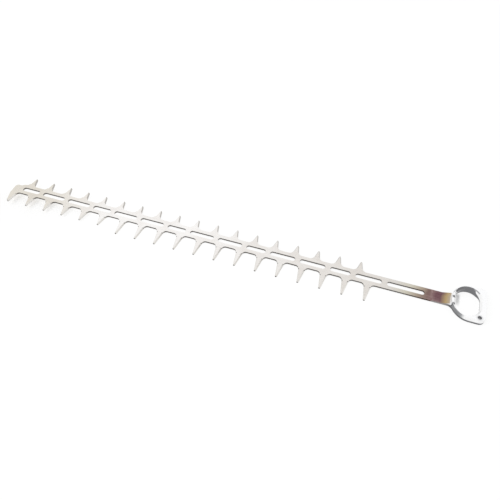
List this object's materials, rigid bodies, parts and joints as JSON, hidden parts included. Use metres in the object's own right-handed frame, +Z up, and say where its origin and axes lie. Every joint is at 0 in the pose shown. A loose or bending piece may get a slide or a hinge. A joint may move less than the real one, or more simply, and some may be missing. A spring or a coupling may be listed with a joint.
{
  "type": "double-sided hedge trimmer cutter blade",
  "caption": "Long slotted steel cutter blade for a hedge trimmer, toothed on both sides, with a raised drive eye welded to one end.",
  "frame": {"origin": "centre of the drive eye's hole at the blade's underside", "axes": "-X along the strip towards its nose, +Y towards the side with the shorter teeth, +Z up through the eye's raised side"},
  "size_m": [0.7935, 0.0695, 0.011],
  "materials": {
    "ground_steel": "fine ground, pale and slightly warm",
    "eye_steel": "bright ground, satin walls",
    "weld_metal": "heat-tinted, dull"
  },
  "bodies": {
    "root": {"toothed_strip": "ground_steel", "drive_eye": "eye_steel", "weld_seam": "weld_metal"}
  },
  "joints": []
}
